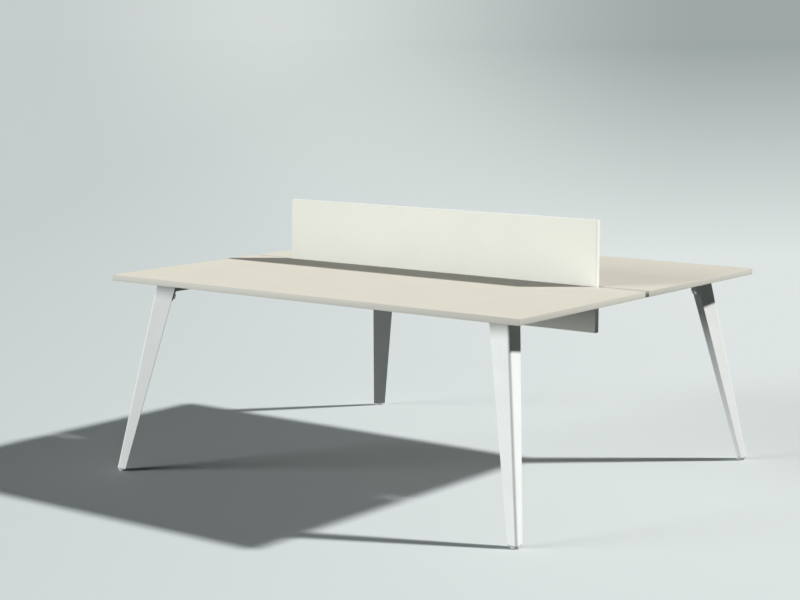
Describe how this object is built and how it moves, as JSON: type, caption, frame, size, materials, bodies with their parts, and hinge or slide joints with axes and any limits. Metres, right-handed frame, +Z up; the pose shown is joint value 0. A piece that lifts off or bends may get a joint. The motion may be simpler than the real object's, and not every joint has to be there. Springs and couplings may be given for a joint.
{
  "type": "office workstation desk",
  "caption": "Double back-to-back bench desk with pale laminate tops, an upright white centre screen, splayed tapered white steel legs and levelling feet.",
  "frame": {"origin": "on the floor at the centre of the desk's footprint", "axes": "+X along the desk, -Y the front user's side, +Z up"},
  "size_m": [1.8, 1.6, 0.975],
  "materials": {
    "top_laminate": "cream melamine on chipboard, fine satin texture",
    "top_edging": "cream edge band, satin",
    "screen_laminate": "white melamine on chipboard, satin",
    "screen_edging": "white edge band, satin",
    "leg_paint": "white powder coat, satin",
    "frame_paint": "white powder coat, satin",
    "steel_zinc": "zinc-plated steel",
    "insert_brass": "turned brass",
    "plug_plastic": "moulded nylon, fine matt",
    "glide_plastic": "moulded nylon, matt white"
  },
  "bodies": {
    "desk": {"beam_bolts": "steel_zinc", "beam_end_plate_front_left": "frame_paint", "beam_end_plate_front_right": "frame_paint", "beam_end_plate_rear_left": "frame_paint", "beam_end_plate_rear_right": "frame_paint", "beam_nuts": "steel_zinc", "bracket_screws": "steel_zinc", "cross_rail_left": "frame_paint", "cross_rail_right": "frame_paint", "foot_plug_front_left": "plug_plastic", "foot_plug_front_right": "plug_plastic", "foot_plug_rear_left": "plug_plastic", "foot_plug_rear_right": "plug_plastic", "front_beam": "frame_paint", "front_top": "top_laminate", "front_top_edging": "top_edging", "front_top_screws": "steel_zinc", "leg_bolts": "steel_zinc", "leg_cap_front_left": "leg_paint", "leg_cap_front_right": "leg_paint", "leg_cap_rear_left": "leg_paint", "leg_cap_rear_right": "leg_paint", "leg_front_left": "leg_paint", "leg_front_right": "leg_paint", "leg_rear_left": "leg_paint", "leg_rear_right": "leg_paint", "nut_plate_front_left": "steel_zinc", "nut_plate_front_right": "steel_zinc", "nut_plate_rear_left": "steel_zinc", "nut_plate_rear_right": "steel_zinc", "rail_flange_front_left": "frame_paint", "rail_flange_front_right": "frame_paint", "rail_flange_rear_left": "frame_paint", "rail_flange_rear_right": "frame_paint", "rear_beam": "frame_paint", "rear_top": "top_laminate", "rear_top_edging": "top_edging", "rear_top_screws": "steel_zinc", "screen_bolts": "steel_zinc", "screen_bracket_front_left": "frame_paint", "screen_bracket_front_right": "frame_paint", "screen_bracket_rear_left": "frame_paint", "screen_bracket_rear_right": "frame_paint", "screen_edging": "screen_edging", "screen_nuts": "steel_zinc", "screen_panel": "screen_laminate", "thread_inserts": "insert_brass"},
    "foot_front_left": {"levelling_foot_front_left": "glide_plastic"},
    "foot_front_right": {"levelling_foot_front_right": "glide_plastic"},
    "foot_rear_left": {"levelling_foot_rear_left": "glide_plastic"},
    "foot_rear_right": {"levelling_foot_rear_right": "glide_plastic"}
  },
  "joints": [
    {"name": "level_front_left", "type": "slide", "parent": "desk", "child": "foot_front_left", "axis": [0, 0, -1], "range_m": [0, 0.012]},
    {"name": "level_front_right", "type": "slide", "parent": "desk", "child": "foot_front_right", "axis": [0, 0, -1], "range_m": [0, 0.012]},
    {"name": "level_rear_left", "type": "slide", "parent": "desk", "child": "foot_rear_left", "axis": [0, 0, -1], "range_m": [0, 0.012]},
    {"name": "level_rear_right", "type": "slide", "parent": "desk", "child": "foot_rear_right", "axis": [0, 0, -1], "range_m": [0, 0.012]}
  ]
}
